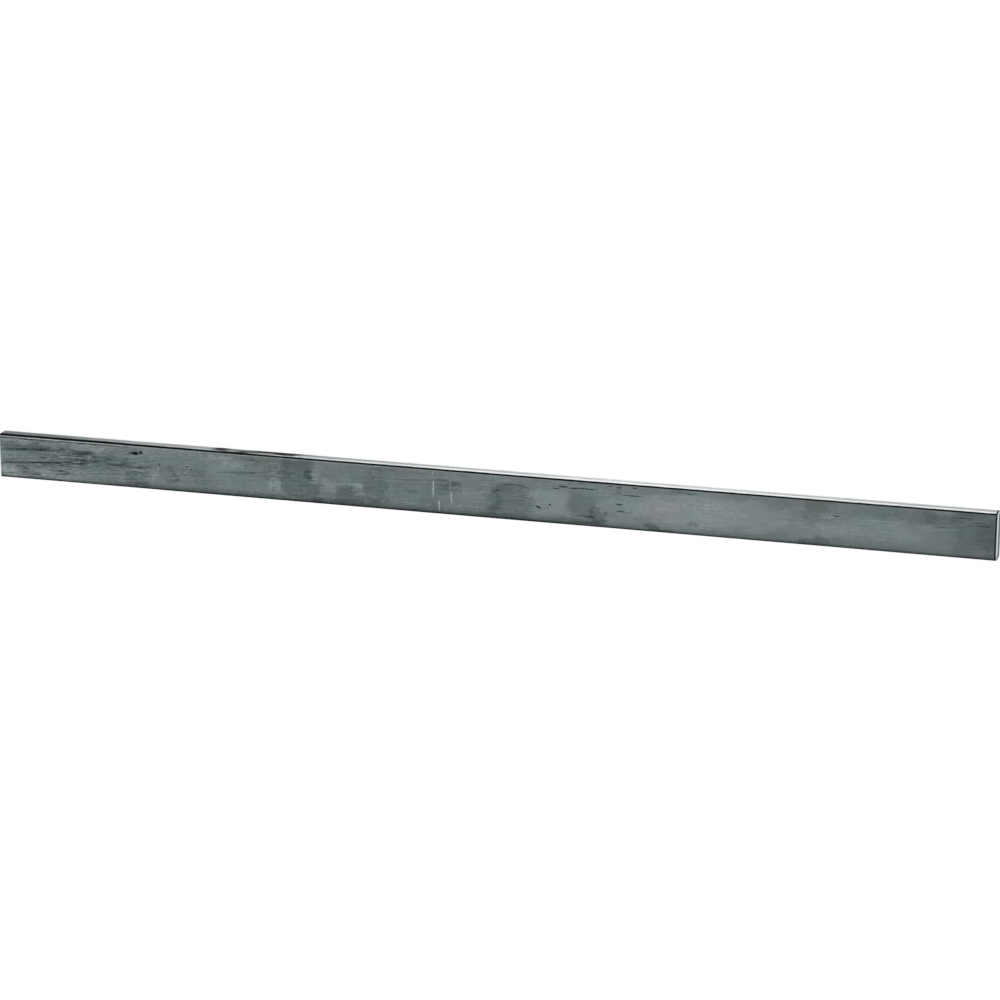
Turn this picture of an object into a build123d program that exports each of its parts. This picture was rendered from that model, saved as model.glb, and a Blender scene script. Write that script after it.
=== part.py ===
# Hot-rolled steel flat bar, 45 x 15 mm, one metre long, lying on its wide face.
#
# Millimetres. X runs along the bar, Y across its width and Z through its thickness.
# The origin is under the bar's middle, on the surface that it rests on.
from build123d import *
import os

# The rolled section
bar_width = 45.0
bar_thickness = 15.0
edge_crown = 0.3      # the rolled narrow edges swell this much at mid-thickness
corner_radius = 1.2   # hot rolling leaves the four long corners slightly round

# The cut length
bar_length = 1000.0
end_chamfer = 1.0     # the burr of the saw is ground off all round each end

half_width = bar_width / 2
shoulder = half_width - edge_crown    # where a crowned edge meets the flat wide faces
mid_height = bar_thickness / 2

with BuildPart() as flat_bar:
    with BuildSketch(Plane.YZ.offset(-bar_length / 2)) as section:
        with BuildLine():
            Line((-shoulder, 0), (shoulder, 0))
            ThreePointArc((shoulder, 0), (half_width, mid_height), (shoulder, bar_thickness))
            Line((shoulder, bar_thickness), (-shoulder, bar_thickness))
            ThreePointArc((-shoulder, bar_thickness), (-half_width, mid_height), (-shoulder, 0))
        make_face()
        fillet(section.vertices(), radius=corner_radius)
    extrude(amount=bar_length)

    # Long edges have their middle at X = 0, so the first and last groups are the sawn outlines.
    along_bar = flat_bar.edges().group_by(Axis.X)
    chamfer(along_bar[0] + along_bar[-1], length=end_chamfer)

flat_bar.part.label = "flat_bar"

os.makedirs("parts", exist_ok=True)
export_step(flat_bar.part, "parts/flat_bar.step")
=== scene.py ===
# A hot-rolled steel flat bar lying on a pale floor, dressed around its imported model.
#
# Metres, in the model's own frame: X runs along the bar, Y across it, Z up from the floor.
import math

import bpy
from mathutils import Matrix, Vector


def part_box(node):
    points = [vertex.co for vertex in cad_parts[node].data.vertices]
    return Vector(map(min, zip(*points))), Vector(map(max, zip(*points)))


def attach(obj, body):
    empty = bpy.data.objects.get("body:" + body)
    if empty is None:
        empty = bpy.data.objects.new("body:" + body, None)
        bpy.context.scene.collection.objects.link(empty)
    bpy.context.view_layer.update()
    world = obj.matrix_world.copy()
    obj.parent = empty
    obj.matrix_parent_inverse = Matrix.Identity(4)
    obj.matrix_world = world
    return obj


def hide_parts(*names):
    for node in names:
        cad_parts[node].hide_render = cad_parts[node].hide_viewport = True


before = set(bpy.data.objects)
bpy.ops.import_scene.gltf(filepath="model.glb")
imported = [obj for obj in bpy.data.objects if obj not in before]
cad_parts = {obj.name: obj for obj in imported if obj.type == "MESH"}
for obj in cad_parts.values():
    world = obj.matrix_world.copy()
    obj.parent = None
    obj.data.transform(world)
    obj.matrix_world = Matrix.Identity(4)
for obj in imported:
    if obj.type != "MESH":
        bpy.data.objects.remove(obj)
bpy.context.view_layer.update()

MM = 0.001
BODY = "root"

# The bar's size comes from its node. The model's crowned edges are cut by facets, hence the round.
low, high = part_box("flat_bar")
length = round(high.x - low.x, 4)
width = round(high.y - low.y, 4)
thickness = round(high.z - low.z, 4)

corner_radius = 1.2 * MM     # the four long corners, as rolled
edge_crown = 0.3 * MM        # swell of the narrow edges
end_chamfer = 1.0 * MM       # ground off all round both ends

# Where its faces are in mm, which is what the finishes are drawn in.
right_end = 1000 * length / 2
left_end = -right_end
far_edge = 1000 * width / 2
near_edge = -far_edge
top_face = 1000 * thickness
mid_height = top_face / 2

# Settings that many nodes share.
smooth = {"interpolation_type": "SMOOTHSTEP", "clamp": False}
plus = {"operation": "ADD"}
minus = {"operation": "SUBTRACT"}
times = {"operation": "MULTIPLY"}
times_plus = {"operation": "MULTIPLY_ADD"}
unsigned = {"operation": "ABSOLUTE"}


# ---------------------------------------------------------------- small helpers

def srgb(code):
    """Linear colour from an sRGB hex code."""
    parts = [int(code[i:i + 2], 16) / 255 for i in (0, 2, 4)]
    return [c / 12.92 if c <= 0.04045 else ((c + 0.055) / 1.055) ** 2.4 for c in parts] + [1.0]


def add(tree, kind, settings, inputs, output=0):
    """One node, with its own settings and its inputs, which are values or sockets of other nodes."""
    made = tree.nodes.new(kind)
    for name, value in settings.items():
        setattr(made, name, value)
    for where, value in inputs.items():
        if isinstance(value, bpy.types.NodeSocket):
            tree.links.new(value, made.inputs[where])
        else:
            made.inputs[where].default_value = value
    return made.outputs[output]


def new_material(name):
    """An empty node material, its tree, and the socket that its finish is linked to."""
    material = bpy.data.materials.new(name)
    material.use_nodes = True
    material.node_tree.nodes.clear()
    surface = material.node_tree.nodes.new("ShaderNodeOutputMaterial")
    return material, material.node_tree, surface.inputs["Surface"]


# ---------------------------------------------------------------- camera

camera_place = (0.8517, 0.8179, 2.6906)
camera_turn = (-16.404, 17.104, -0.206)      # degrees, about X, Y and Z
camera_lens = 110.0                          # mm, on a 36 mm square sensor

camera = bpy.data.objects.new("camera", bpy.data.cameras.new("camera"))
camera.data.lens = camera_lens
camera.data.sensor_width = 36.0
camera.location = camera_place
camera.rotation_euler = [math.radians(a) for a in camera_turn]
bpy.context.scene.collection.objects.link(camera)
bpy.context.scene.camera = camera


# ---------------------------------------------------------------- mill scale

# Marks on the upper face, in mm: how far along from the left end, how far across from the far
# edge, half length, half width, and how much lighter or darker they are, in grey levels.
rising_streaks = [            # scale drawn out while the bar ran askew
    (16, 14.9, 18, 2.0, -38),
    (27, 13.8, 3.4, 2.4, -30),
    (41, 13.2, 17, 2.0, -36),
    (47, 12.9, 7, 1.9, -18),
    (26, 11.2, 24, 2.4, -15),
    (46, 10.2, 20, 1.2, -16),
    (3.6, 30.4, 3.4, 1.2, -58),
    (14, 28.8, 15, 1.3, -30),
    (30, 27.8, 13, 1.2, -32),
    (40, 27.0, 6, 1.2, -46),
    (49, 26.0, 8, 1.6, -52),
    (63, 25.4, 6, 1.6, -50),
    (48, 28.4, 5, 1.8, -22),
    (57, 26.6, 7, 3.6, -16),
    (37, 29.6, 6, 0.8, -24),
    (62, 13.4, 9, 2.6, -14),
    (68, 11.2, 6, 1.8, -24),
    (75, 14.2, 8, 0.8, -20),
    (75, 16.8, 8, 0.8, -22),
    (76, 23.8, 8, 1.5, -42),
    (84, 25.0, 7, 0.8, -34),
    (90, 20.8, 10, 0.9, -44),
    (96, 22.2, 6, 1.8, -22),
    (81, 21.6, 9, 0.6, -22),
    (78, 19.8, 8, 0.6, -18),
    (66, 17.6, 9, 0.6, -16),
    (64, 21.6, 8, 0.7, -16),
    (71, 26.8, 7, 0.6, -20),
    (108, 20.0, 9, 0.7, -18),
    (112, 16.0, 8, 0.7, -14),
    (108, 25.4, 10, 0.7, -16),
    (118, 27.2, 9, 0.7, -14),
    (70, 9.6, 8, 0.7, -14),
    (60, 16.4, 8, 0.6, 14),
    (68, 19.6, 8, 0.6, 14),
    (92, 18.6, 7, 0.6, 16),
    (110, 21.6, 8, 0.6, 12),
    (130, 20.4, 8, 0.7, 16),
    (144, 20.6, 7, 0.7, 12),
    (91, 24.4, 6, 0.8, -36),
    (90, 17.0, 5, 1.1, -34),
    (94, 13.4, 14, 2.4, -25),
    (88, 12.0, 7, 0.8, -18),
    (98, 14.6, 8, 0.7, -16),
    (84, 10.8, 4, 2.4, -22),
    (119, 17.4, 7, 1.0, -28),
    (125, 14.4, 3, 0.9, -26),
    (119, 22.8, 6, 0.8, -40),
    (128, 23.2, 9, 0.9, -42),
    (139, 21.6, 13, 0.9, -30),
    (137, 19.6, 5, 1.1, -30),
    (145, 18.6, 6, 0.8, -18),
    (140, 15.6, 12, 1.0, -16),
    (152, 23.6, 7, 1.3, -36),
    (142, 23.4, 11, 1.0, -24),
    (161, 21.4, 5, 2.4, -20),
    (83, 18.6, 8, 0.6, 20),
    (73, 18.4, 4, 0.7, 24),
    (83, 23.2, 5, 0.7, 24),
    (48, 24.4, 5, 0.6, 22),
    (261, 19.8, 30, 1.2, -18),
    (277, 19.0, 10, 1.2, -12),
    (372, 20.4, 34, 0.9, -14),
    (446, 12.3, 44, 0.8, -13),
    (951, 17.2, 9, 0.6, -34),
]
level_streaks = [             # the same, along the bar
    (67, 33.8, 4, 1.0, -52),
    (69, 36.9, 4, 0.8, -44),
    (73, 35.6, 3, 1.8, -34),
    (68, 28.2, 6, 0.9, -36),
    (74, 31.4, 6, 0.8, -18),
    (27, 32.6, 7, 2.8, -20),
    (28, 37.0, 3, 1.4, -22),
    (12, 40.0, 8, 0.7, -26),
    (38, 39.4, 7, 1.0, -26),
    (48, 21.2, 6, 0.7, -42),
    (468, 10.5, 10, 1.6, -24),
    (479, 13.6, 8, 2.6, -24),
    (470, 16.4, 13, 0.9, -18),
    (468, 20.2, 12, 0.8, -7),
    (470, 24.2, 12, 0.8, -12),
    (487, 4.6, 4, 1.4, -16),
    (436, 24.6, 6, 1.5, -14),
    (534, 9.6, 8, 0.9, -34),
    (518.0, 18.2, 5, 1.5, -24),
    (523.0, 16.2, 5, 1.5, -26),
    (612, 35.2, 8, 1.3, -40),
    (602, 34.6, 7, 0.7, -34),
    (610, 41.0, 14, 0.9, -22),
    (606, 38.4, 8, 0.7, -14),
    (711, 4.8, 8, 1.5, -26),
    (703, 3.2, 9, 0.7, -14),
    (822, 17.5, 2.6, 1.6, -16),
    (847, 16.2, 8, 0.7, 16),
    (888, 15.8, 46, 0.9, 10),
    (940, 13.4, 4, 1.0, -10),
    (986, 12.7, 8, 0.9, -34),
    (984, 9.6, 6, 0.8, -22),
    (975, 13.6, 6, 0.7, -16),
    (970, 3.2, 16, 0.8, -14),
    (972, 6.6, 16, 0.8, -14),
    (728, 14.4, 6, 0.8, 18),
    (733, 17.4, 6, 0.7, 12),
    (751, 20.2, 5, 0.8, 12),
    (763, 20.4, 6, 0.9, 18),
]
dashes = [                    # short dark nicks, filled with scale
    (19.6, 14.8, 1.4, 1.6, -20),
    (103.4, 16.4, 3.2, 1.2, -32),
    (588, 7.5, 4.6, 0.75, -76),
    (581, 9.8, 3.8, 0.65, -58),
    (598, 8.4, 4.4, 0.65, -54),
    (610, 7.8, 12, 0.7, -64),
    (634, 3.4, 3.0, 0.9, -44),
    (643, 3.9, 3.6, 1.1, -40),
    (643, 6.6, 2.8, 0.8, -24),
    (643, 9.2, 2.8, 0.8, -22),
    (658, 3.3, 3.6, 0.9, -50),
    (655, 11.0, 11, 0.6, -58),
    (643, 20.4, 4.4, 0.85, -70),
    (645, 27.3, 4.8, 0.95, -54),
    (652, 27.8, 3.4, 0.8, -20),
    (850.4, 14.5, 4.6, 0.55, -62),
    (296.5, 12.0, 3, 1.4, -14),
    (299.0, 16.5, 2.5, 2.4, -16),
    (303.0, 14.0, 2.2, 3.0, -13),
    (302.0, 23.5, 2.6, 2.6, -16),
    (328.0, 13.4, 4.2, 1.0, -16),
    (332.0, 19.2, 3.2, 1.1, -24),
    (324.0, 28.4, 5.0, 0.9, -15),
    (148.0, 9.0, 4.6, 1.9, -100),
    (142.8, 9.3, 3.0, 0.9, -56),
    (151.7, 9.0, 0.6, 1.8, 24),
    (154.0, 7.8, 1.9, 2.0, -90),
    (173.4, 19.0, 1.4, 1.4, -38),
    (203.4, 19.0, 2.0, 1.0, -32),
    (207.4, 20.6, 1.3, 1.3, -46),
    (575.0, 26.3, 1.3, 1.3, -84),
    (569.4, 31.0, 0.9, 0.8, -34),
    (572.2, 29.6, 0.9, 0.8, -36),
    (566.0, 32.4, 0.9, 0.7, -22),
]
slanting_marks = [            # dents, falling away to the right
    (563.6, 29.6, 3.6, 1.1, -70),
    (547.0, 10.2, 7.0, 1.0, -26),
]
clear_patches = [             # where scale came off in one piece, or stayed on
    (318, 13.0, 18, 13.0, -20),
    (331, 15.0, 5, 6.0, -18),
    (323, 31.0, 24, 7.0, -18),
    (338, 40.5, 8, 2.4, -18),
    (374, 33.5, 16, 9.0, -12),
    (401, 29.0, 11.5, 11.0, -12),
    (399, 12.0, 8, 8.0, -5),
    (536, 22.0, 20, 12.5, -11),
    (520, 30.0, 7.5, 10.0, -12),
    (525, 12.5, 12, 5.5, -9),
    (532, 38.0, 24, 4.5, -11),
    (608, 24.0, 13, 11.0, -11),
    (621, 32.5, 8.5, 7.5, -20),
    (603, 40.0, 26, 4.0, -10),
    (676, 40.4, 9, 2.6, -24),
    (690, 41.2, 9, 1.4, -18),
    (713, 34.2, 4.0, 2.0, -16),
    (151, 34.0, 12.0, 8.0, -16),
    (187, 21.0, 4.5, 3.6, -12),
    (189.6, 28.4, 2.0, 4.4, -18),
    (186.5, 34.4, 4.5, 2.2, -14),
    (216, 29.0, 10, 8.5, -6),
    (217, 17.0, 9, 4.5, -5),
    (831, 6.5, 12, 5.0, -12),
    (827, 20.0, 9, 8.0, -5),
    (828, 40.0, 15, 3.0, -14),
    (980, 24.0, 22, 30.0, -12),
    (937, 7.0, 8, 5.0, -8),
    (296, 29.0, 5.5, 8.0, 12),
    (338, 12.0, 4.5, 8.0, 6),
    (350, 27.0, 9, 8.0, 9),
    (383, 27.0, 7.0, 7.5, 16),
    (368, 22.0, 9, 1.8, 10),
    (574, 24.0, 17, 12.0, 8),
    (160, 32.0, 12, 6.0, 10),
]
broad_patches = [             # slow changes of tone
    (11, 36.0, 12, 6.5, 22),
    (48, 36.0, 10, 5.0, 14),
    (68, 39.0, 20, 3.0, 14),
    (20, 5.6, 20, 1.6, 20),
    (12, 21.0, 12, 4.5, 8),
    (46, 18.0, 18, 4.0, -11),
    (9, 10.8, 16, 3.0, -13),
    (104, 6.8, 36, 4.0, 17),
    (172, 5.0, 34, 3.4, 7),
    (62, 6.5, 18, 3.0, 8),
    (88, 28.0, 18, 4.0, -14),
    (88, 18.0, 34, 8.0, -12),
    (120, 20.0, 28, 7.0, -12),
    (240, 11.0, 22, 8.0, 8),
    (292, 22.0, 14, 4.0, -8),
    (352, 17.0, 12, 3.5, -8),
    (455, 35.0, 18, 5.0, -7),
    (468, 22.0, 20, 6.0, -6),
    (455, 5.0, 22, 3.0, -5),
    (622, 4.5, 58, 3.0, 6),
    (640, 27.0, 32, 14.0, 5),
    (690, 5.0, 28, 3.0, -6),
    (762, 5.0, 26, 3.0, -6),
    (778, 35.0, 20, 4.5, 7),
    (936, 17.0, 14, 4.0, 9),
    (272, 7.0, 14, 4.0, -7),
    (303, 9.0, 14, 7.0, -6),
    (280, 5.0, 18, 4.0, -8),
    (364, 35.0, 34, 6.0, -9),
    (388, 10.0, 34, 9.0, -6),
    (474, 14.0, 14, 5.0, -7),
    (473, 8.0, 18, 5.0, 5),
    (925, 8.0, 58, 6.0, -8),
    (956, 5.0, 20, 3.5, -7),
    (408, 5.0, 24, 3.5, -8),
    (401, 39.5, 9, 3.0, -10),
    (309, 37.2, 18, 2.0, 9),
    (291, 12.0, 6, 5.0, -12),
    (304, 20.0, 5, 5.0, -12),
    (992, 20.0, 12, 18.0, -9),
    (496, 27.0, 16, 13.0, 5),
    (575, 18.0, 24, 16.0, 6),
    (730, 21.0, 92, 18.0, 17),
    (884, 25.0, 62, 13.0, 12),
    (830, 29.0, 46, 9.0, 10),
    (684, 24.0, 24, 14.0, 4),
]
violet_patches = [            # a trace of violet, or of olive, in the oxide
    (22, 7.0, 24, 5.0, 0.7),
    (26, 35.0, 12, 7.0, 1.0),
    (62, 39.0, 24, 3.5, 0.7),
    (160, 38.0, 20, 4.0, 0.6),
    (162, 6.0, 9, 3.5, 0.5),
    (369, 7.0, 12, 6.0, 0.5),
    (421, 35.0, 8, 6.0, 0.9),
    (478, 6.5, 9, 4.0, 0.6),
    (560, 5.0, 50, 4.0, 0.6),
    (682, 22.0, 22, 15.0, 0.9),
    (770, 25.0, 90, 17.0, 0.45),
    (854, 27.5, 8, 5.0, 0.9),
    (940, 39.0, 26, 4.0, 0.4),
]
olive_patches = [
    (90, 8.0, 45, 6.0, 0.7),
    (278, 6.0, 26, 6.0, 0.6),
    (350, 12.0, 12, 9.0, 0.6),
    (440, 7.0, 42, 6.0, 0.6),
    (690, 5.0, 26, 4.0, 0.6),
    (825, 7.0, 34, 6.0, 0.8),
    (742, 40.0, 38, 4.0, 0.7),
]
bright_scratches = [
    (458.3, 19.5, 0.85, 8.6, 46),
    (457.6, 4.0, 0.7, 3.6, 26),
    (464.3, 36.4, 0.5, 5.8, 66),
    (476.6, 27.0, 1.0, 6.6, 36),
    (475.4, 15.0, 0.8, 5.0, 20),
    (489.0, 17.5, 0.8, 5.6, 12),
    (290.8, 29.0, 1.0, 6.4, 14),
    (172.4, 23.4, 1.0, 2.8, 24),
    (98.2, 19.0, 0.6, 3.8, 24),
    (100.8, 19.5, 0.5, 3.6, 20),
    (103.2, 20.0, 0.5, 3.4, 24),
]

# Scale left on the far narrow edge, in mm: how far along from the left end, how far up from the
# floor, half length, half height, and how thick it is, where 1 and more hides the steel.
edge_scale = [
    (298, 1.0, 34, 3.8, 1.3),
    (292, 5.5, 26, 2.6, 1.2),
    (305, 8.5, 15, 2.4, 0.9),
    (266, 9.0, 12, 1.8, 0.6),
    (238, 3.0, 9, 4.2, 1.1),
    (236, 8.0, 8, 3.6, 1.0),
    (254, 13.6, 18, 2.2, 0.8),
    (252, 8.0, 18, 7.0, 0.24),
    (276, 10.5, 18, 4.5, 0.2),
]

# Painted reflection on the far narrow edge: its grey levels from the left end to the right, for
# the half next to the upper face, painted lighter, and the half next to the floor, painted
# darker: (part of the length, level). The near one has them the other way round.
upper_half_reflection_levels = [(0.0, 112), (0.06, 122), (0.10, 150), (0.17, 172), (0.25, 184), (0.34, 214),
                     (0.42, 236), (0.64, 246), (0.76, 244), (0.88, 232), (1.0, 236)]
lower_half_reflection_levels = [(0.0, 102), (0.06, 110), (0.10, 136), (0.17, 152), (0.25, 150), (0.34, 158),
                     (0.42, 170), (0.52, 184), (0.64, 202), (0.76, 198), (0.88, 180), (1.0, 168)]

# Other grey levels.
plain_level = 112.0          # scale that nothing has marked
cloud_swing = 26.0           # from the darkest cloud in it to the lightest
corner_line_level = 6.0           # the near-black line along the long corners
dark_end_line_level = 30.0        # the dark line beside the right end
rim_level = 170.0            # steel burnished at the very ends

# The oxide's colour at each level: a blue-green grey, less so where the steel shows.
oxide_colours = [(30, "171F20"), (60, "343D3E"), (85, "4D5758"), (110, "667071"),
                 (135, "7F898A"), (165, "9DA7A8"), (200, "C2C9CA")]
violet_grey = "84818C"
olive_grey = "7A8379"

dark_end_line_inset = 2.15        # mm, from the right end to the middle of the dark line
streak_skew = -0.045         # mm across for each mm along, as the bar left the rolls
streak_height = 0.05 * MM
grain_height = 0.03 * MM


def marked(tree, place, marks, hard, soft, rise=0.0, squarish=False):
    """The sum of several marks at each point: each full strength inside hard, nothing past soft.

    The marks climb towards the far edge by rise mm for each mm along. They are round or squarish.
    """
    if rise:
        along = add(tree, "ShaderNodeSeparateXYZ", {}, {0: place}, "X")
        climb = add(tree, "ShaderNodeMath", times, {0: along, 1: rise})
        climb = add(tree, "ShaderNodeCombineXYZ", {}, {"Y": climb})
        place = add(tree, "ShaderNodeVectorMath", plus, {0: place, 1: climb})
    total = None
    for along, across, half_length, half_width, strength in marks:
        across += rise * along
        centred = add(tree, "ShaderNodeVectorMath", times_plus, {
            0: place, 1: (1 / half_length, 1 / half_width, 0),
            2: (-along / half_length, -across / half_width, 0)})
        if squarish:
            centred = add(tree, "ShaderNodeVectorMath", times, {0: centred, 1: centred})
        away = add(tree, "ShaderNodeVectorMath", {"operation": "LENGTH"}, {0: centred}, "Value")
        one = add(tree, "ShaderNodeMapRange", smooth, {
            "Value": away, "From Min": soft, "From Max": hard, "To Max": strength})
        total = one if total is None else add(tree, "ShaderNodeMath", plus, {0: total, 1: one})
    return total


def own_millimetres(tree):
    """Where a point is on the piece itself, in mm: as a vector, and as its X, Y and Z."""
    point = add(tree, "ShaderNodeTexCoord", {}, {}, "Object")
    in_mm = add(tree, "ShaderNodeVectorMath", {"operation": "SCALE"}, {0: point, "Scale": 1000.0})
    x, y, z = add(tree, "ShaderNodeSeparateXYZ", {}, {0: in_mm}).node.outputs
    return in_mm, x, y, z


def scale_noises(tree, in_mm, askew):
    """The outputs of each noise in the scale, by name.

    Each is drawn at the size of the real thing in mm, along, across and through the bar.
    """
    noises = {}
    for name, place, size, detail, rough in (
            ("clouds", in_mm, (70, 26, 26), 3, 0.55),
            ("tint", in_mm, (34, 13, 13), 3, 0.6),
            ("mottle", askew, (12, 5, 5), 4, 0.65),
            ("flecks", askew, (4.5, 2.6, 2.6), 3, 0.6),
            ("streaks", askew, (36, 1.9, 1.9), 4, 0.65),
            ("short_streaks", askew, (7, 1.0, 1.0), 3, 0.65),
            ("grain", askew, (2.4, 1.2, 1.2), 2, 0.6),
            ("chatter", in_mm, (1.8, 10, 10), 2, 0.5),
            ("wander", in_mm, (15, 13, 13), 3, 0.5),
            ("comb", in_mm, (22, 1.3, 1.3), 3, 0.65)):
        stretched = add(tree, "ShaderNodeVectorMath", {"operation": "DIVIDE"}, {0: place, 1: size})
        noises[name] = add(tree, "ShaderNodeTexNoise", {}, {
            "Vector": stretched, "Scale": 1.0, "Detail": detail, "Roughness": rough}).node.outputs
    return noises


def strayed(tree, place, noise, along, across):
    """The place, moved by a noise over a reach of so many mm along and across."""
    stray = add(tree, "ShaderNodeVectorMath", times_plus, {
        0: noise["Color"], 1: (along, across, 0), 2: (-along / 2, -across / 2, 0)})
    return add(tree, "ShaderNodeVectorMath", plus, {0: place, 1: stray})


def plain_scale(tree, x, noises):
    """The level of the scale everywhere, which each noise swings by so many levels."""
    swings = (("mottle", 22), ("flecks", 12), ("streaks", 34), ("short_streaks", 32),
              ("grain", 26), ("chatter", 10))
    texture = -sum(swing for _, swing in swings) / 2
    for name, swing in swings:
        texture = add(tree, "ShaderNodeMath", times_plus, {
            0: noises[name]["Fac"], 1: swing, 2: texture})
    # They swing it less and less to the right, where the bar has been handled smooth.
    lively = add(tree, "ShaderNodeMapRange", {}, {
        "Value": x, "From Min": left_end, "From Max": right_end - 200,
        "To Min": 1.45, "To Max": 0.75})
    # In places it is smooth, in others rough.
    rough_places = add(tree, "ShaderNodeSeparateXYZ", {}, {0: noises["tint"]["Color"]}, "Y")
    rough_places = add(tree, "ShaderNodeMapRange", smooth, {
        "Value": rough_places, "From Min": 0.38, "From Max": 0.62, "To Min": 0.5, "To Max": 1.5})
    lively = add(tree, "ShaderNodeMath", times, {0: lively, 1: rough_places})
    tone = add(tree, "ShaderNodeMath", times_plus, {
        0: noises["clouds"]["Fac"], 1: cloud_swing, 2: plain_level - cloud_swing / 2})
    return add(tree, "ShaderNodeMath", times_plus, {0: texture, 1: lively, 2: tone})


def listed_marks(tree, wandering, frayed, crumbly):
    """The listed marks of the upper face: how much lighter or darker they make each point."""
    marks = None
    for place, group, hard, soft, rise, squarish in (
            (frayed, rising_streaks, 0.35, 1.20, 0.06, False),
            (frayed, level_streaks, 0.35, 1.20, 0.0, False),
            (crumbly, dashes, 0.45, 1.20, 0.0, False),
            (crumbly, slanting_marks, 0.45, 1.20, -0.28, False),
            (wandering, clear_patches, 0.55, 1.25, 0.0, True),
            (wandering, broad_patches, 0.40, 1.20, 0.0, False),
            (crumbly, bright_scratches, 0.35, 1.25, 0.0, True)):
        more = marked(tree, place, group, hard, soft, rise, squarish)
        marks = more if marks is None else add(tree, "ShaderNodeMath", plus, {0: marks, 1: more})
    return marks


def with_left_end_streaks(tree, marks, x, noises):
    """The marks, and the fine streaks that the scale is thick with near the left end."""
    thickest = left_end + 90
    away = add(tree, "ShaderNodeMath", plus, {0: x, 1: -thickest})
    away = add(tree, "ShaderNodeMath", unsigned, {0: away})
    there = add(tree, "ShaderNodeMapRange", smooth, {
        "Value": away, "From Min": 100, "From Max": 15})
    for name, swing in (("streaks", 42), ("short_streaks", 72)):
        more = add(tree, "ShaderNodeMath", times_plus, {
            0: noises[name]["Fac"], 1: swing, 2: -swing / 2 - 1.0})
        marks = add(tree, "ShaderNodeMath", times_plus, {0: more, 1: there, 2: marks})
    return marks


def with_near_border_shade(tree, marks, x, y):
    """The marks, and painted shade along the near border: it darkens over its last millimetres, then
    a dark line.
    """
    painted_border_shade = add(tree, "ShaderNodeMapRange", smooth, {
        "Value": y, "From Min": near_edge + 8.5, "From Max": near_edge + 2.8, "To Max": -26.0})
    begins = add(tree, "ShaderNodeMapRange", smooth, {
        "Value": x, "From Min": left_end + 90, "From Max": left_end + 150, "To Min": 0.15})
    eases = add(tree, "ShaderNodeMapRange", smooth, {
        "Value": x, "From Min": right_end - 450, "From Max": right_end - 300,
        "To Min": 1.0, "To Max": 0.35})
    begins = add(tree, "ShaderNodeMath", times, {0: begins, 1: eases})
    marks = add(tree, "ShaderNodeMath", times_plus, {0: painted_border_shade, 1: begins, 2: marks})
    # Painted shade: a dark line next to the near edge, at the foot of the darkening.
    line = add(tree, "ShaderNodeMapRange", smooth, {
        "Value": y, "From Min": near_edge + 3.4, "From Max": near_edge + 2.3, "To Max": -28.0})
    return add(tree, "ShaderNodeMath", plus, {0: marks, 1: line})


def with_far_corner_lines(tree, marks, x, y, noises):
    """The marks, and the lines beside the far corner: a light one, then near the left a dark one."""
    across_far = add(tree, "ShaderNodeMath", minus, {0: far_edge, 1: y})
    uneven = 1.4             # mm that the lines wander across
    inwards = add(tree, "ShaderNodeMath", times_plus, {
        0: noises["flecks"]["Fac"], 1: uneven, 2: -uneven / 2})
    inwards = add(tree, "ShaderNodeMath", plus, {0: inwards, 1: across_far})
    # The middle of each line and half its width in mm, its grey levels, and from how far along
    # to how far along it fades in, in mm from the left end.
    for middle_line, half_line, level, begin, end in (
            (2.0, 0.9, 20.0, 900, 40),
            (1.8, 0.9, 28.0, 150, 120),
            (3.3, 0.7, -42.0, 150, 120),
            (3.4, 0.8, -26.0, 60, 46)):
        gap = add(tree, "ShaderNodeMath", minus, {0: inwards, 1: middle_line})
        gap = add(tree, "ShaderNodeMath", unsigned, {0: gap})
        line = add(tree, "ShaderNodeMapRange", smooth, {
            "Value": gap, "From Min": half_line, "From Max": 0.2 * half_line, "To Max": level})
        fade = add(tree, "ShaderNodeMapRange", smooth, {
            "Value": x, "From Min": left_end + begin, "From Max": left_end + end})
        marks = add(tree, "ShaderNodeMath", times_plus, {0: line, 1: fade, 2: marks})
    return marks


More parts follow.
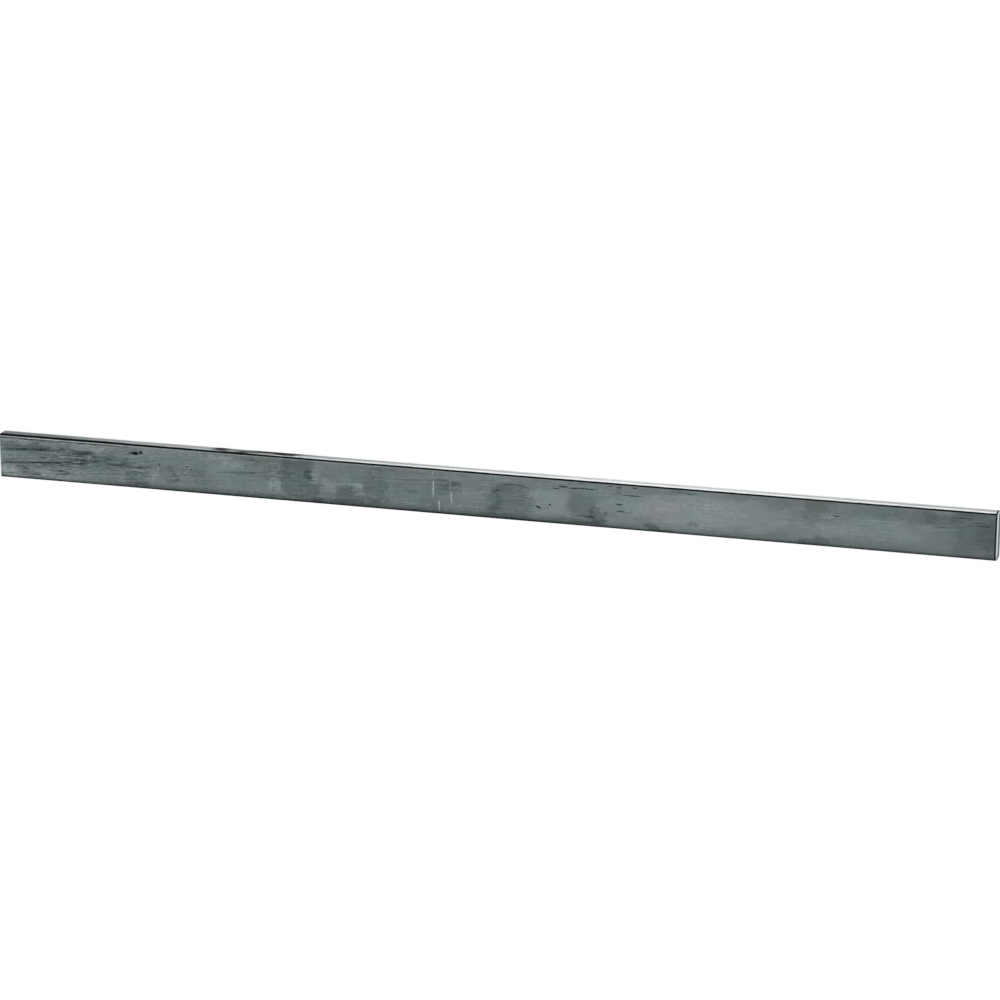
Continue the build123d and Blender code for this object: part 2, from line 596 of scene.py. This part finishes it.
def edges_with_painted_reflection(tree, x, y, z, noises):
    """The narrow edges' level, in painted reflection: dark at one end, then grey, then bright next
    to the corner.
    """
    side = add(tree, "ShaderNodeMath", {"operation": "SIGN"}, {0: y})
    part = add(tree, "ShaderNodeMath", times, {0: x, 1: side})
    part = add(tree, "ShaderNodeMath", times_plus, {0: part, 1: 0.5 / right_end, 2: 0.5})
    reflection_stops = []
    for stops in (lower_half_reflection_levels, upper_half_reflection_levels):
        level = add(tree, "ShaderNodeFloatCurve", {}, {"Value": part})
        curve = level.node.mapping.curves[0]
        curve.points[0].location = (stops[0][0], stops[0][1] / 255)
        curve.points[1].location = (stops[-1][0], stops[-1][1] / 255)
        for place, grey in stops[1:-1]:
            curve.points.new(place, grey / 255)
        level.node.mapping.update()
        reflection_stops.append(level)
    # Painted highlight and shade: the half next to the upper face takes the lighter levels, the half
    # next to the floor the darker ones.
    lift = add(tree, "ShaderNodeMath", times_plus, {0: noises["wander"]["Fac"], 1: 3.0, 2: z})
    in_upper_half = add(tree, "ShaderNodeMapRange", smooth, {
        "Value": lift, "From Min": 8.8, "From Max": 11.2})
    edge = add(tree, "ShaderNodeMix", {"data_type": "FLOAT"}, {
        0: in_upper_half, 2: reflection_stops[0], 3: reflection_stops[1]})
    edge = add(tree, "ShaderNodeMath", times, {0: edge, 1: 255.0})
    swings = (("streaks", 90), ("short_streaks", 70), ("mottle", 34), ("grain", 30))
    for name, swing in swings:
        edge = add(tree, "ShaderNodeMath", times_plus, {0: noises[name]["Fac"], 1: swing, 2: edge})
    # Dragging over floors brightened the last millimetres above the floor, unevenly, and most of
    # all near the left end.
    height = add(tree, "ShaderNodeMath", times_plus, {0: noises["streaks"]["Fac"], 1: 6.0, 2: z})
    dragged = add(tree, "ShaderNodeMapRange", smooth, {
        "Value": height, "From Min": 7.5, "From Max": 4.0, "To Max": 50.0})
    more = add(tree, "ShaderNodeMapRange", smooth, {
        "Value": x, "From Min": left_end + 240, "From Max": left_end + 120,
        "To Min": 1.0, "To Max": 2.2})
    edge = add(tree, "ShaderNodeMath", times_plus, {0: dragged, 1: more, 2: edge})
    return add(tree, "ShaderNodeMath", minus, {0: edge, 1: sum(swing for _, swing in swings) / 2})


def with_edge_scale(tree, edge, x, z, far_side, noises):
    """The level of the narrow edges, with the scale that was left in patches on the far one."""
    strays = (("comb", 28, 2), ("short_streaks", 14, 4))
    along_edge = add(tree, "ShaderNodeCombineXYZ", {}, {0: x, 1: z, 2: 0.0})
    along_edge = add(tree, "ShaderNodeVectorMath", plus, {0: along_edge, 1: (
        -left_end - sum(along for _, along, _ in strays) / 2,
        -sum(up for _, _, up in strays) / 2, 0)})
    for name, along, up in strays:
        along_edge = add(tree, "ShaderNodeVectorMath", times_plus, {
            0: noises[name]["Color"], 1: (along, up, 0), 2: along_edge})
    patches = marked(tree, along_edge, edge_scale, 0.7, 1.2)
    patches = add(tree, "ShaderNodeMath", {"operation": "MULTIPLY", "use_clamp": True}, {
        0: patches, 1: far_side})
    # Fine scratches along the bar have gone through them.
    scratched = add(tree, "ShaderNodeMapRange", smooth, {
        "Value": noises["streaks"]["Fac"], "From Min": 0.36, "From Max": 0.46, "To Min": 0.45})
    patches = add(tree, "ShaderNodeMath", times, {0: patches, 1: scratched})
    flaked = add(tree, "ShaderNodeMath", times_plus, {
        0: noises["short_streaks"]["Fac"], 1: 130.0, 2: -45.0})
    return add(tree, "ShaderNodeMix", {"data_type": "FLOAT"}, {0: patches, 2: edge, 3: flaked})


def dark_line_on_corners(tree, x, z, across, noises):
    """How much of the near-black line along the long corners is at each point, from 0 to 1."""
    # It is wider towards the left end.
    wider_to_left = add(tree, "ShaderNodeMapRange", smooth, {
        "Value": x, "From Min": left_end + 300, "From Max": left_end + 60,
        "To Min": -mid_height - 0.3, "To Max": -mid_height + 1.1})
    upwards = add(tree, "ShaderNodeMath", plus, {0: z, 1: wider_to_left})
    downwards = add(tree, "ShaderNodeMath", minus, {0: mid_height - 0.9, 1: z})
    through = add(tree, "ShaderNodeMath", {"operation": "MAXIMUM"}, {0: upwards, 1: downwards})
    reach = add(tree, "ShaderNodeMath", times_plus, {
        0: noises["wander"]["Fac"], 1: 1.6, 2: through})
    by_wide_face = add(tree, "ShaderNodeMapRange", smooth, {
        "Value": reach, "From Min": mid_height - 1.6, "From Max": mid_height - 0.9})
    inner = add(tree, "ShaderNodeMapRange", smooth, {
        "Value": x, "From Min": right_end - 400, "From Max": right_end - 130,
        "To Min": 0.18, "To Max": -0.12})
    inner = add(tree, "ShaderNodeMath", plus, {0: inner, 1: across})
    by_narrow_edge = add(tree, "ShaderNodeMapRange", smooth, {
        "Value": inner, "From Min": far_edge - 1.65, "From Max": far_edge - 1.1})
    return add(tree, "ShaderNodeMath", times, {0: by_wide_face, 1: by_narrow_edge})


def rim_brightness(tree, y):
    """How much of its brightness the rim round an end has: it is dull next to the near corner."""
    return add(tree, "ShaderNodeMapRange", smooth, {
        "Value": y, "From Min": near_edge + 1.5, "From Max": near_edge + 8.0, "To Min": 0.3})


def with_sawn_ends(tree, tone, x, y):
    """The level, with a dark line round the right end and a burnished rim at both ends."""
    from_line = add(tree, "ShaderNodeMath", minus, {0: x, 1: right_end - dark_end_line_inset})
    from_line = add(tree, "ShaderNodeMath", unsigned, {0: from_line})
    end_line = add(tree, "ShaderNodeMapRange", smooth, {
        "Value": from_line, "From Min": 0.95, "From Max": 0.6, "To Max": 0.97})
    tone = add(tree, "ShaderNodeMix", {"data_type": "FLOAT"}, {
        0: end_line, 2: tone, 3: dark_end_line_level})
    rim = add(tree, "ShaderNodeMath", unsigned, {0: x})
    rim = add(tree, "ShaderNodeMapRange", smooth, {
        "Value": rim, "From Min": right_end - 1.6, "From Max": right_end - 1.3, "To Max": 0.9})
    rim = add(tree, "ShaderNodeMath", times, {0: rim, 1: rim_brightness(tree, y)})
    return add(tree, "ShaderNodeMix", {"data_type": "FLOAT"}, {0: rim, 2: tone, 3: rim_level})


def oxide_colour(tree, tone):
    """The oxide's plain colour at each level."""
    fraction = add(tree, "ShaderNodeMath", times, {0: tone, 1: 1 / 255})
    colour = add(tree, "ShaderNodeValToRGB", {}, {0: fraction})
    ramp = colour.node.color_ramp
    ramp.elements[0].position, ramp.elements[0].color = 0.0, srgb("000303")
    ramp.elements[1].position, ramp.elements[1].color = 1.0, srgb("FCFFFF")
    for level, code in oxide_colours:
        ramp.elements.new(level / 255).color = srgb(code)
    return colour


def tinted(tree, colour, wandering, across, on_upper, on_narrow, noises):
    """The colour, wandering between teal and a plain or violet grey, and olive in places."""
    tint = noises["tint"]["Fac"]
    hue = add(tree, "ShaderNodeMapRange", {}, {
        "Value": tint, "From Min": 0.3, "From Max": 0.7, "To Min": 0.515, "To Max": 0.492})
    saturation = add(tree, "ShaderNodeMapRange", {}, {
        "Value": tint, "From Min": 0.3, "From Max": 0.7, "To Min": 0.85, "To Max": 1.25})
    # It is greyer along the borders, and more so on the narrow edges.
    borders = add(tree, "ShaderNodeMapRange", smooth, {
        "Value": across, "From Min": far_edge - 13, "From Max": far_edge - 7, "To Max": -0.14})
    saturation = add(tree, "ShaderNodeMath", plus, {0: saturation, 1: borders})
    saturation = add(tree, "ShaderNodeMath", times_plus, {0: on_narrow, 1: -0.25, 2: saturation})
    colour = add(tree, "ShaderNodeHueSaturation", {}, {
        "Hue": hue, "Saturation": saturation, "Color": colour})
    for group, code in ((violet_patches, violet_grey), (olive_patches, olive_grey)):
        cover = marked(tree, wandering, group, 0.35, 1.25)
        cover = add(tree, "ShaderNodeMath", {"operation": "MULTIPLY", "use_clamp": True}, {
            0: cover, 1: on_upper})
        cover = add(tree, "ShaderNodeMath", times, {0: cover, 1: 0.35})
        colour = add(tree, "ShaderNodeMix", {"data_type": "RGBA", "blend_type": "COLOR"}, {
            0: cover, 6: colour, 7: srgb(code)}, 2)
    return colour


def mill_scale():
    """Hot-rolled steel with its mill scale on: blue-grey oxide, half shiny, streaked along the bar.

    The oxide reflects like a dark metal. Rolling draws its tone out into streaks along the bar,
    and it is almost black along the long corners. The narrow edges carry painted reflection, light
    next to the upper face, and the near border of the upper face carries painted shade. The tone is
    worked out as a grey level of 0 to 255 and coloured at the end.
    """
    material, tree, surface = new_material("hot_rolled_mill_scale")
    in_mm, x, y, z = own_millimetres(tree)
    # Distance along from the left end, and across from the far edge.
    upper = add(tree, "ShaderNodeVectorMath", times_plus, {
        0: in_mm, 1: (1, -1, 0), 2: (-left_end, far_edge, 0)})
    askew = add(tree, "ShaderNodeMath", times, {0: x, 1: streak_skew})
    askew = add(tree, "ShaderNodeCombineXYZ", {}, {"Y": askew})
    askew = add(tree, "ShaderNodeVectorMath", plus, {0: in_mm, 1: askew})
    noises = scale_noises(tree, in_mm, askew)

    # Patches have wandering outlines, streaks fray along the bar, and small marks crumble.
    wandering = strayed(tree, upper, noises["wander"], 22, 14)
    wandering = strayed(tree, wandering, noises["short_streaks"], 12, 4)
    frayed = strayed(tree, upper, noises["comb"], 26, 2.4)
    crumbly = strayed(tree, upper, noises["grain"], 4.0, 1.6)

    # Which face a point is on.
    on_upper = add(tree, "ShaderNodeMapRange", smooth, {
        "Value": z, "From Min": top_face - 1.2, "From Max": top_face - 0.4})
    across = add(tree, "ShaderNodeMath", unsigned, {0: y})
    on_narrow = add(tree, "ShaderNodeMapRange", smooth, {
        "Value": across, "From Min": far_edge - 1.0, "From Max": far_edge - 0.45})
    far_side = add(tree, "ShaderNodeMath", {"operation": "GREATER_THAN"}, {0: y, 1: 0.0})

    tone = plain_scale(tree, x, noises)
    marks = listed_marks(tree, wandering, frayed, crumbly)
    marks = with_left_end_streaks(tree, marks, x, noises)
    # Painted shade along the near border.
    marks = with_near_border_shade(tree, marks, x, y)
    marks = with_far_corner_lines(tree, marks, x, y, noises)
    tone = add(tree, "ShaderNodeMath", times_plus, {0: marks, 1: on_upper, 2: tone})
    # The narrow edges, with their painted reflection.
    edge = edges_with_painted_reflection(tree, x, y, z, noises)
    edge = with_edge_scale(tree, edge, x, z, far_side, noises)
    tone = add(tree, "ShaderNodeMix", {"data_type": "FLOAT"}, {0: on_narrow, 2: tone, 3: edge})
    on_corner = dark_line_on_corners(tree, x, z, across, noises)
    tone = add(tree, "ShaderNodeMix", {"data_type": "FLOAT"}, {
        0: on_corner, 2: tone, 3: corner_line_level})
    tone = with_sawn_ends(tree, tone, x, y)
    colour = oxide_colour(tree, tone)
    colour = tinted(tree, colour, wandering, across, on_upper, on_narrow, noises)

    # Streaks and grain stand a few hundredths of a millimetre proud.
    relief = add(tree, "ShaderNodeMath", times_plus, {
        0: noises["streaks"]["Fac"], 1: streak_height, 2: 0.0})
    relief = add(tree, "ShaderNodeMath", times_plus, {
        0: noises["grain"]["Fac"], 1: grain_height, 2: relief})
    bumps = add(tree, "ShaderNodeBump", {}, {"Strength": 0.6, "Distance": 1.0, "Height": relief})
    roughness = add(tree, "ShaderNodeMapRange", {}, {
        "Value": noises["mottle"]["Fac"], "From Min": 0.3, "From Max": 0.7,
        "To Min": 0.44, "To Max": 0.60})
    # Thick black oxide is sooty, and gives back less of the light that grazes it.
    grazing = add(tree, "ShaderNodeMapRange", smooth, {
        "Value": tone, "From Min": 10, "From Max": 60, "To Min": 0.4})
    shine = add(tree, "ShaderNodeBsdfPrincipled", {}, {
        "Base Color": colour, "Metallic": 0.9, "Roughness": roughness, "Specular Tint": grazing,
        "Normal": bumps})
    tree.links.new(shine, surface)
    return material


# ---------------------------------------------------------------- cut ends

tooth_pitch = 1.1            # mm between tooth marks, coarser than real ones, to show
tooth_height = 0.08 * MM


def sawn_steel():
    """Steel cut by a saw: clean grey metal, scored across by the teeth, with a bright ground rim."""
    material, tree, surface = new_material("saw_cut_steel")
    in_mm, x, y, _ = own_millimetres(tree)
    from_middle = add(tree, "ShaderNodeMath", unsigned, {0: x})

    # Tooth marks run across the thickness.
    stretched = add(tree, "ShaderNodeVectorMath", {"operation": "DIVIDE"}, {
        0: in_mm, 1: (9.0, tooth_pitch, 18.0)})
    teeth = add(tree, "ShaderNodeTexNoise", {}, {
        "Vector": stretched, "Scale": 1.0, "Detail": 3.0, "Roughness": 0.6})
    colour = add(tree, "ShaderNodeValToRGB", {}, {0: teeth})
    ramp = colour.node.color_ramp
    ramp.elements[0].position, ramp.elements[0].color = 0.32, srgb("5D6769")
    ramp.elements[1].position, ramp.elements[1].color = 0.68, srgb("788284")

    ground = add(tree, "ShaderNodeMapRange", smooth, {
        "Value": from_middle, "From Min": right_end - 0.05, "From Max": right_end - 0.25})
    ground = add(tree, "ShaderNodeMath", times, {0: ground, 1: rim_brightness(tree, y)})
    colour = add(tree, "ShaderNodeMix", {"data_type": "RGBA"}, {
        0: ground, 6: colour, 7: srgb("D6DEDF")}, 2)

    relief = add(tree, "ShaderNodeMath", times, {0: teeth, 1: tooth_height})
    bumps = add(tree, "ShaderNodeBump", {}, {"Strength": 0.7, "Distance": 1.0, "Height": relief})
    roughness = add(tree, "ShaderNodeMapRange", {}, {
        "Value": teeth, "From Min": 0.3, "From Max": 0.7, "To Min": 0.32, "To Max": 0.48})
    shine = add(tree, "ShaderNodeBsdfPrincipled", {}, {
        "Base Color": colour, "Metallic": 1.0, "Roughness": roughness,
        "Specular Tint": (0.6, 0.6, 0.6, 1.0), "Normal": bumps})
    tree.links.new(shine, surface)
    return material


# ---------------------------------------------------------------- the rolled bar

along_step = 1.25 * MM       # between rings of the finished mesh
across_step = 1.6 * MM       # between its points on the wide faces
corner_pieces = 6            # facets round each long corner
crown_points = 4             # points from the middle of a narrow edge to its corner
lap_inset = 3.1 * MM         # the rolling lap runs this far in from the far corner
lap_half = 0.7 * MM          # from its bottom to where it starts, on each side
end_rings = 3                # rings over the number of steps: one at each end, one closes the row

# How deep the finished bar is pressed in at most.
wave_depth = 0.10 * MM
groove_depth = 0.05 * MM
nick_depth = 0.35 * MM
lap_depth = 0.15 * MM


def section_outline():
    """Points (y, z) round the rolled section, and for each the way outwards."""
    middle = thickness / 2
    half_width = width / 2
    crown_radius = (edge_crown ** 2 + middle ** 2) / (2 * edge_crown)
    reach = crown_radius - corner_radius
    lift = middle - corner_radius
    corner_y = half_width - crown_radius + math.sqrt(reach ** 2 - lift ** 2)
    lean = math.asin(lift / reach)           # where the corner's arc meets the crown's

    quarter = []                             # from the middle of the narrow edge to the top corner
    for i in range(crown_points):
        turn = lean * i / crown_points
        quarter.append((half_width - crown_radius + crown_radius * math.cos(turn),
                        middle + crown_radius * math.sin(turn), math.cos(turn), math.sin(turn)))
    for i in range(corner_pieces + 1):
        turn = lean + (math.pi / 2 - lean) * i / corner_pieces
        quarter.append((corner_y + corner_radius * math.cos(turn),
                        thickness - corner_radius + corner_radius * math.sin(turn),
                        math.cos(turn), math.sin(turn)))

    lap = half_width - lap_inset
    top = [lap + lap_half, lap, lap - lap_half]
    start = top[-1]
    count = round((start + corner_y) / across_step)
    top += [start - (start + corner_y) * i / count for i in range(1, count)]
    flat = [(y, thickness, 0.0, 1.0) for y in top]
    count = round(2 * corner_y / across_step)
    under = [(-corner_y + 2 * corner_y * i / count, 0.0, 0.0, -1.0) for i in range(1, count)]

    def mirror(points, y, z):
        """The quarter turned over, about the middle of the section."""
        return [(y * p[0], middle + z * (p[1] - middle), y * p[2], z * p[3]) for p in points]

    return (quarter + flat + mirror(quarter, -1, 1)[::-1]
            + mirror(quarter, -1, -1)[1:] + under + mirror(quarter, 1, -1)[::-1][:-1])


def row_of_rings(tree, given, half):
    """A line with a point for each ring: at each end, where each chamfer starts, and between."""
    line = add(tree, "GeometryNodeCurvePrimitiveLine", {}, {"End": (1.0, 0.0, 0.0)})
    line = add(tree, "GeometryNodeResampleCurve", {}, {"Curve": line, "Count": given["Rings"]})
    chamfers = add(tree, "ShaderNodeMath", times, {0: given["Chamfer"], 1: 2.0})
    clear = add(tree, "ShaderNodeMath", minus, {0: given["Length"], 1: chamfers})
    gaps = add(tree, "ShaderNodeMath", minus, {0: given["Rings"], 1: end_rings})
    step = add(tree, "ShaderNodeMath", {"operation": "DIVIDE"}, {0: clear, 1: gaps})
    number = add(tree, "GeometryNodeInputIndex", {}, {})
    number = add(tree, "ShaderNodeMath", minus, {0: number, 1: 1.0})
    at = add(tree, "ShaderNodeMath", times, {0: number, 1: step})
    start = add(tree, "ShaderNodeMath", times, {0: clear, 1: -0.5})
    at = add(tree, "ShaderNodeMath", plus, {0: at, 1: start})
    at = add(tree, "ShaderNodeMath", {"operation": "MINIMUM"}, {0: at, 1: half})
    back = add(tree, "ShaderNodeMath", times, {0: half, 1: -1.0})
    at = add(tree, "ShaderNodeMath", {"operation": "MAXIMUM"}, {0: at, 1: back})
    at = add(tree, "ShaderNodeCombineXYZ", {}, {"X": at})
    return add(tree, "GeometryNodeSetPosition", {}, {"Geometry": line, "Position": at})


def pressed_depth(tree, given, place, corner, lap):
    """How deep each point is pressed in, by rolling and by knocks."""
    depth = None
    # The size of each noise in mm, along, across and through, its detail, at which values of the
    # noise pressing starts and is full, and where it presses.
    for name, size, detail, start, end, where in (
            ("Wave depth", (190, 55, 55), 1.0, 0.35, 0.65, None),
            ("Groove depth", (130, 2.4, 2.4), 3.0, 0.45, 0.70, None),
            ("Nick depth", (9, 5, 5), 2.0, 0.66, 0.74, corner),
            ("Lap depth", (60, 40, 40), 2.0, 0.30, 0.55, lap)):
        spread = add(tree, "ShaderNodeVectorMath", {"operation": "DIVIDE"}, {
            0: place, 1: [s * MM for s in size]})
        noise = add(tree, "ShaderNodeTexNoise", {"noise_dimensions": "4D"}, {
            "Vector": spread, "W": given["Seed"], "Scale": 1.0, "Detail": detail})
        press = add(tree, "ShaderNodeMapRange", smooth, {
            "Value": noise, "From Min": start, "From Max": end, "To Max": given[name]})
        if where is not None:
            press = add(tree, "ShaderNodeMath", times, {0: press, 1: where})
        depth = press if depth is None else add(tree, "ShaderNodeMath", plus, {0: depth, 1: press})
    return depth


def rolling_tree(scale, cut):
    """Sweeps the section along the bar, grinds the ends and presses in the marks of rolling."""
    tree = bpy.data.node_groups.new("rolled_bar", "GeometryNodeTree")
    tree.interface.new_socket("Section", in_out="INPUT", socket_type="NodeSocketGeometry")
    ids = {}
    for name, kind in (("Length", "Float"), ("Rings", "Int"), ("Chamfer", "Float"),
                       ("Wave depth", "Float"), ("Groove depth", "Float"), ("Nick depth", "Float"),
                       ("Lap depth", "Float"), ("Seed", "Float")):
        made = tree.interface.new_socket(name, in_out="INPUT", socket_type="NodeSocket" + kind)
        ids[name] = made.identifier
    tree.interface.new_socket("Bar", in_out="OUTPUT", socket_type="NodeSocketGeometry")
    given = tree.nodes.new("NodeGroupInput").outputs
    result = tree.nodes.new("NodeGroupOutput").inputs["Bar"]

    half = add(tree, "ShaderNodeMath", times, {0: given["Length"], 1: 0.5})
    line = row_of_rings(tree, given, half)
    section = add(tree, "GeometryNodeMeshToCurve", {}, {"Mesh": given["Section"]})
    bar = add(tree, "GeometryNodeCurveToMesh", {}, {
        "Curve": line, "Profile Curve": section, "Fill Caps": True})

    place = add(tree, "GeometryNodeInputPosition", {}, {})
    x = add(tree, "ShaderNodeSeparateXYZ", {}, {0: place}, "X")
    outwards = add(tree, "GeometryNodeInputNamedAttribute", {"data_type": "FLOAT_VECTOR"}, {
        "Name": "outwards"})
    corner = add(tree, "GeometryNodeInputNamedAttribute", {"data_type": "FLOAT"}, {
        "Name": "corner"})
    lap = add(tree, "GeometryNodeInputNamedAttribute", {"data_type": "FLOAT"}, {"Name": "lap"})
    depth = pressed_depth(tree, given, place, corner, lap)

    # The first and last rings are drawn in by the chamfer.
    inside = add(tree, "ShaderNodeMath", unsigned, {0: x})
    rim = add(tree, "ShaderNodeMath", minus, {0: half, 1: 0.1 * MM})
    at_end = add(tree, "ShaderNodeMath", {"operation": "GREATER_THAN"}, {0: inside, 1: rim})
    ground = add(tree, "ShaderNodeMath", times, {0: at_end, 1: given["Chamfer"]})
    depth = add(tree, "ShaderNodeMath", plus, {0: depth, 1: ground})
    depth = add(tree, "ShaderNodeMath", times, {0: depth, 1: -1.0})
    offset = add(tree, "ShaderNodeVectorMath", {"operation": "SCALE"}, {
        0: outwards, "Scale": depth})
    bar = add(tree, "GeometryNodeSetPosition", {}, {"Geometry": bar, "Offset": offset})

    # Everything past the start of a chamfer is cut metal.
    past = add(tree, "ShaderNodeMath", minus, {0: half, 1: given["Chamfer"]})
    cut_faces = add(tree, "ShaderNodeMath", {"operation": "GREATER_THAN"}, {0: inside, 1: past})
    bar = add(tree, "GeometryNodeRealizeInstances", {}, {"Geometry": bar})
    bar = add(tree, "GeometryNodeSetMaterial", {}, {"Geometry": bar, "Material": scale})
    bar = add(tree, "GeometryNodeSetMaterial", {}, {
        "Geometry": bar, "Selection": cut_faces, "Material": cut})
    tree.links.new(bar, result)
    return tree, ids


def lay_out_for_baking(mesh):
    """A UV map that lays the bar's skin flat in a square picture, at one size all over.

    The bar is cut in three lengths, one above the other, each with its four sides unfolded, and
    both ends stand beside them. Corners are shared between the two sides they join.
    """
    lengths, gap = 3, 1.6 * MM
    piece = length / lengths
    row = 2 * (width + thickness) + 4 * gap
    picture = lengths * row
    layer = mesh.uv_layers.new(name="OFBake")
    for face in mesh.polygons:
        x, y, z = face.normal
        number = min(lengths - 1, int((face.center.x + length / 2) / piece))
        left, bottom = number * piece - length / 2, number * row
        for loop in face.loop_indices:
            place = mesh.vertices[mesh.loops[loop].vertex_index].co
            along = place.x - left
            up = place.z
            over = place.y + width / 2
            if abs(x) > 0.5:             # an end and its chamfers
                spot = (up if x < 0 else thickness - up, over + (0 if x < 0 else width + gap))
                spot = (spot[0] + piece + 3 * gap, spot[1])
            elif abs(z) > abs(y):        # a wide face
                spot = (along, bottom + (over if z > 0 else 2 * width + gap - over))
            else:                        # a narrow edge
                spot = (along, bottom + 2 * (width + gap) + (
                    up if y < 0 else 2 * thickness + gap - up))
            layer.uv[loop].vector = [(s + gap / 2) / picture for s in spot]


def roll_bar():
    """The finished bar as one plain closed mesh."""
    outline = section_outline()
    # A sweep along X turns its section half round, so the section is drawn turned.
    mesh = bpy.data.meshes.new("section")
    count = len(outline)
    mesh.from_pydata([(-y, -z, 0.0) for y, z, _, _ in outline],
                     [(i, (i + 1) % count) for i in range(count)], [])
    # Each point knows its way outwards, how far it is on a long corner, and if it is in the lap.
    outwards = mesh.attributes.new("outwards", "FLOAT_VECTOR", "POINT")
    outwards.data.foreach_set("vector", [v for p in outline for v in (0.0, p[2], p[3])])
    corner = mesh.attributes.new("corner", "FLOAT", "POINT")
    corner.data.foreach_set("value", [min(1.0, 3 * abs(p[2] * p[3])) for p in outline])
    lap = mesh.attributes.new("lap", "FLOAT", "POINT")
    lap.data.foreach_set("value", [
        float(z == thickness and abs(y - width / 2 + lap_inset) < 1e-6) for y, z, _, _ in outline])

    section = bpy.data.objects.new("section", mesh)
    bpy.context.scene.collection.objects.link(section)
    tree, ids = rolling_tree(mill_scale(), sawn_steel())
    rolling = section.modifiers.new("rolling", "NODES")
    rolling.node_group = tree
    rings = round((length - 2 * end_chamfer) / along_step) + end_rings
    for name, value in (("Length", length), ("Rings", rings), ("Chamfer", end_chamfer),
                        ("Wave depth", wave_depth), ("Groove depth", groove_depth),
                        ("Nick depth", nick_depth), ("Lap depth", lap_depth), ("Seed", 4.0)):
        rolling[ids[name]] = value

    evaluated = section.evaluated_get(bpy.context.evaluated_depsgraph_get())
    mesh = bpy.data.meshes.new_from_object(evaluated)
    mesh.name = "rolled_bar"
    bpy.data.objects.remove(section)
    for name in ("outwards", "corner", "lap"):
        mesh.attributes.remove(mesh.attributes[name])
    bar = bpy.data.objects.new("rolled_bar", mesh)
    bpy.context.scene.collection.objects.link(bar)
    mesh.shade_smooth()
    mesh.set_sharp_from_angle(angle=math.radians(30))
    lay_out_for_baking(mesh)
    return bar


bar = roll_bar()
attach(bar, BODY)
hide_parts("flat_bar")


# ---------------------------------------------------------------- floor and light

floor_half = 15.0            # half the side of the board
glow_share = 0.95            # of what is seen of the board; the rest is lit, and has the shadow
glow_strength = 1.02         # 1 is white; the lit part is a little darker, and this makes up for it


def white_board():
    """Matt white board: pure white to the eye, with the bar's soft shadow kept in it."""
    material, tree, surface = new_material("matt_white_board")
    board = add(tree, "ShaderNodeBsdfDiffuse", {}, {"Color": srgb("F8F8F8")})
    glow = add(tree, "ShaderNodeEmission", {}, {"Color": (1, 1, 1, 1), "Strength": glow_strength})
    ray = add(tree, "ShaderNodeLightPath", {}, {}).node
    seen = add(tree, "ShaderNodeMath", {"operation": "MAXIMUM"}, {
        0: ray.outputs["Is Camera Ray"], 1: ray.outputs["Is Glossy Ray"]})
    seen = add(tree, "ShaderNodeMath", times, {0: seen, 1: glow_share})
    both = add(tree, "ShaderNodeMixShader", {}, {0: seen, 1: board, 2: glow})
    tree.links.new(both, surface)
    return material


floor_mesh = bpy.data.meshes.new("floor")
floor_mesh.from_pydata([(-floor_half, -floor_half, 0), (floor_half, -floor_half, 0),
                        (floor_half, floor_half, 0), (-floor_half, floor_half, 0)],
                       [], [(0, 1, 2, 3)])
floor_mesh.materials.append(white_board())
floor = bpy.data.objects.new("floor", floor_mesh)
bpy.context.scene.collection.objects.link(floor)

# A white studio: the walls are white to the eye and in reflections, and light the room evenly.
room_light = 0.57            # as much of their whiteness as lights matt faces
world = bpy.data.worlds.new("white_studio")
bpy.context.scene.world = world
world.use_nodes = True
world.node_tree.nodes.clear()
ray = add(world.node_tree, "ShaderNodeLightPath", {}, {}).node
seen = add(world.node_tree, "ShaderNodeMath", {"operation": "MAXIMUM"}, {
    0: ray.outputs["Is Camera Ray"], 1: ray.outputs["Is Glossy Ray"]})
seen = add(world.node_tree, "ShaderNodeMath", {"operation": "MAXIMUM"}, {
    0: seen, 1: ray.outputs["Is Transmission Ray"]})
strength = add(world.node_tree, "ShaderNodeMapRange", {}, {
    "Value": seen, "To Min": room_light, "To Max": 1.0})
sky = add(world.node_tree, "ShaderNodeBackground", {}, {
    "Color": (1, 1, 1, 1), "Strength": strength})
world_output = world.node_tree.nodes.new("ShaderNodeOutputWorld")
world.node_tree.links.new(sky, world_output.inputs["Surface"])

# Two soft boxes that face the bar's middle: place, side in metres, watts.
for name, place, side, power in (
        ("key_softbox", (0.9, 1.9, 2.2), 1.6, 20.0),
        ("fill_softbox", (-1.4, -1.8, 2.0), 1.8, 11.0)):
    lamp = bpy.data.lights.new(name, "AREA")
    lamp.shape = "SQUARE"
    lamp.size = side
    lamp.energy = power
    box = bpy.data.objects.new(name, lamp)
    box.location = place
    aim = -box.location
    box.rotation_euler = aim.to_track_quat("-Z", "Y").to_euler()
    box.visible_camera = False
    bpy.context.scene.collection.objects.link(box)

bpy.context.scene.view_settings.view_transform = "Standard"
